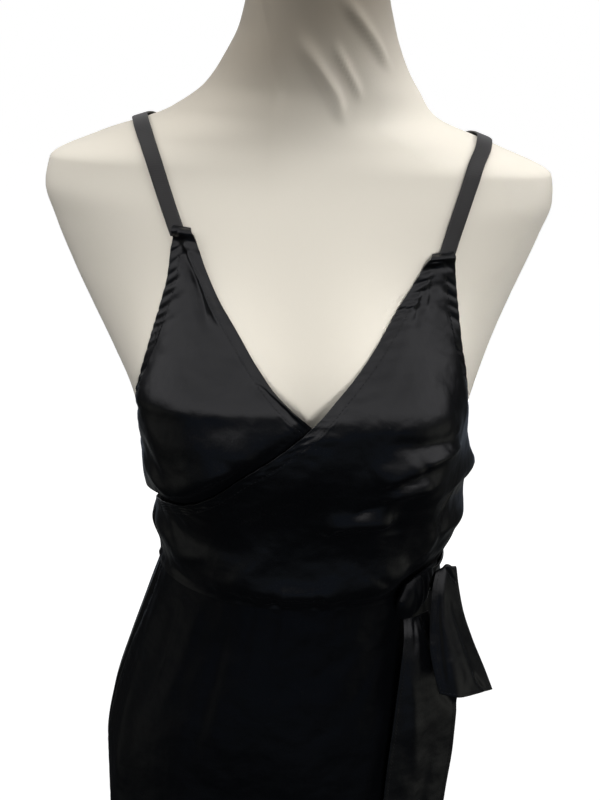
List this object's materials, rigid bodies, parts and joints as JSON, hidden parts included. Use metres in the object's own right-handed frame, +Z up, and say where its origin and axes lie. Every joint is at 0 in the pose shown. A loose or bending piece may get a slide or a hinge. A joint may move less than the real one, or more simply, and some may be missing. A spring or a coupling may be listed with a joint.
{
  "type": "wrap dress on limbless dress form",
  "caption": "Satin wrap dress with narrow shoulder straps and a waist tie knotted at the side, worn on a limbless dress form with a plain round stand.",
  "frame": {"origin": "centre of the stand base's underside, on the floor", "axes": "+Z up along the pole, -Y the way the dress faces, +X towards the wearer's left"},
  "size_m": [0.4044, 0.36, 1.5633],
  "materials": {
    "dress_satin": "black satin with a soft sheen",
    "strap_ribbon": "flat black woven strap",
    "form_cover": "smooth matte cream cover",
    "form_plate": "plain sealed board",
    "stand_steel": "satin steel"
  },
  "bodies": {
    "root": {"form_torso": "form_cover", "form_neck_cap": "form_cover", "form_base_plate": "form_plate", "stand_base": "stand_steel", "stand_pole": "stand_steel", "stand_collar": "stand_steel", "bodice_front_left": "dress_satin", "bodice_front_right": "dress_satin", "bodice_back": "dress_satin", "skirt_front_over": "dress_satin", "skirt_front_under": "dress_satin", "skirt_back": "dress_satin", "strap_left": "strap_ribbon", "strap_right": "strap_ribbon", "waist_tie": "dress_satin", "tie_knot": "dress_satin", "tie_end_short": "dress_satin", "tie_end_long": "dress_satin"}
  },
  "joints": []
}
